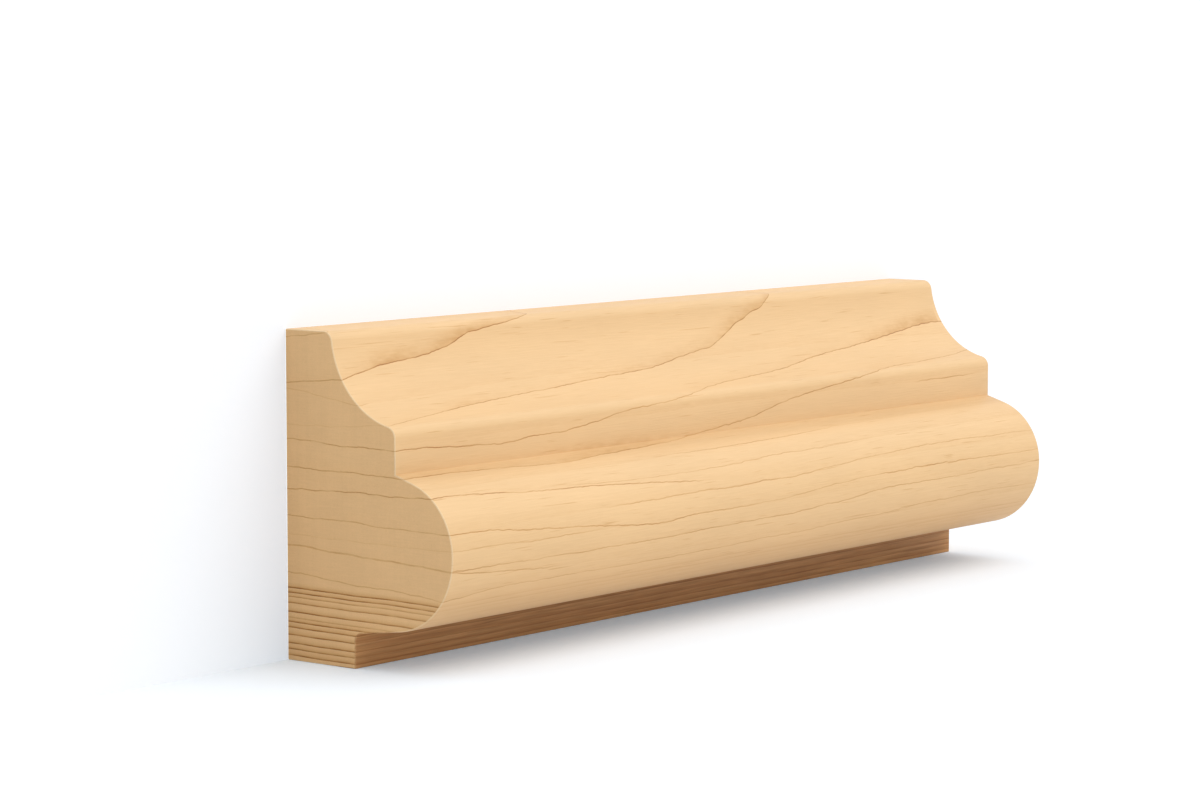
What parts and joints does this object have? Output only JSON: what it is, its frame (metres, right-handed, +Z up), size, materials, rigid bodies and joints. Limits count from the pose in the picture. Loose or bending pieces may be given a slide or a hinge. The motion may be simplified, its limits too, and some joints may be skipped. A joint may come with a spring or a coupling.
{
  "type": "base cap moulding",
  "caption": "Short length of pine base cap moulding with a cove, a flat fillet and a rounded nose over a stepped-back foot; caps a base board against a wall.",
  "frame": {"origin": "middle of the length and of the depth, on the level of the foot's underside", "axes": "+X along the length, +Y towards the wall that the flat back lies against, +Z up"},
  "size_m": [0.1644, 0.0334, 0.0508],
  "materials": {
    "pine": "clear pine, planed and sanded, bare"
  },
  "bodies": {
    "root": {"base_cap_moulding": "pine"}
  },
  "joints": []
}
